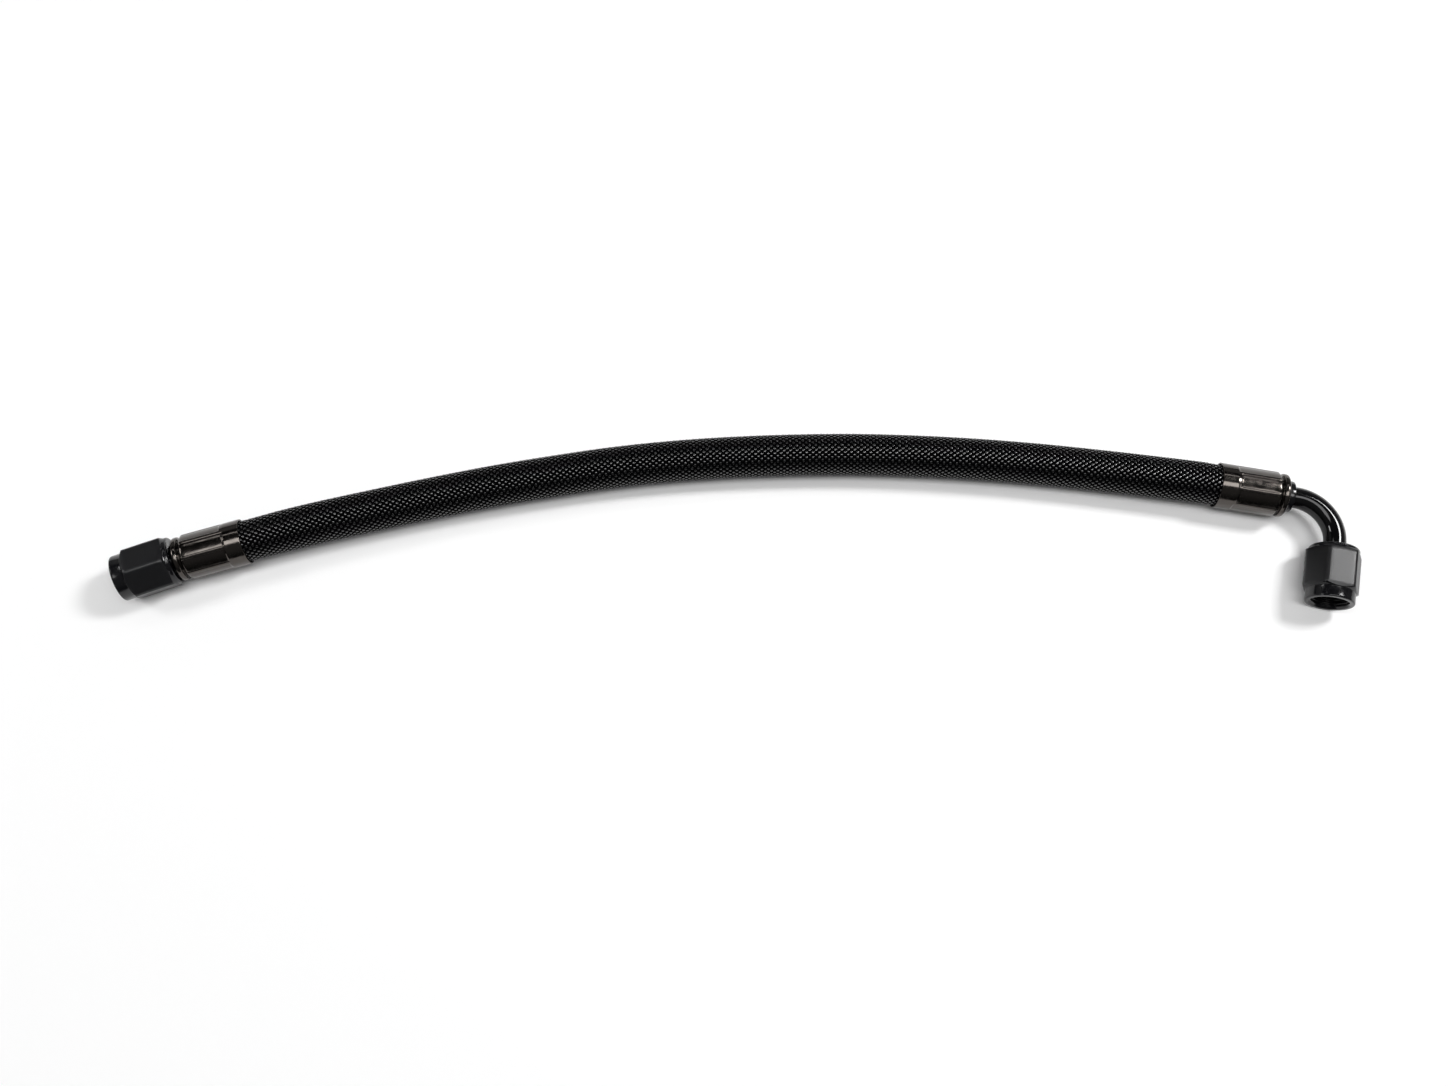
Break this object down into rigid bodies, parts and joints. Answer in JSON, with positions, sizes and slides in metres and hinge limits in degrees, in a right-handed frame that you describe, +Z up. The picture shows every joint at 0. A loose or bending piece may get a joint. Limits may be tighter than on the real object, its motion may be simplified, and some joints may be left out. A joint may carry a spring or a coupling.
{
  "type": "hydraulic hose assembly",
  "caption": "Braided flexible hose with crimped collars, a straight swivel nut at one end and a bent-tube swivel nut at the other.",
  "frame": {"origin": "centre of the bounding box of the two metal fittings, at bench level", "axes": "+X from the straight end to the elbow end, +Z up from the bench, -Y the side that the elbow's port points to"},
  "size_m": [0.3672, 0.0546, 0.0159],
  "materials": {
    "liner_rubber": "matte",
    "steel_wire": "drawn wire",
    "black_braid": "braided nylon yarn with a soft sheen",
    "black_fitting": "black anodised, bright",
    "collar_nickel": "polished black nickel",
    "black_nut": "black anodised over machined flats",
    "black_tube": "black anodised, polished",
    "spring_wire": "bright spring wire"
  },
  "bodies": {
    "hose_assembly": {"hose_liner": "liner_rubber", "steel_braid": "steel_wire", "outer_braid": "black_braid", "straight_insert": "black_fitting", "straight_collar": "collar_nickel", "elbow_insert": "black_fitting", "elbow_collar": "collar_nickel", "elbow_tube": "black_tube", "elbow_seat": "black_fitting"},
    "straight_swivel": {"straight_nut": "black_nut", "straight_nut_wire": "spring_wire"},
    "elbow_swivel": {"elbow_nut": "black_nut", "elbow_nut_wire": "spring_wire"}
  },
  "joints": [
    {"name": "straight_nut_spin", "type": "hinge", "parent": "hose_assembly", "child": "straight_swivel", "pos_m": [-0.17766, -0.01263, 0.00797], "axis": [-0.9397, -0.342, 0], "continuous": true},
    {"name": "elbow_nut_spin", "type": "hinge", "parent": "hose_assembly", "child": "elbow_swivel", "pos_m": [0.17325, -0.01748, 0.00715], "axis": [-0.2164, -0.9763, 0], "continuous": true}
  ]
}
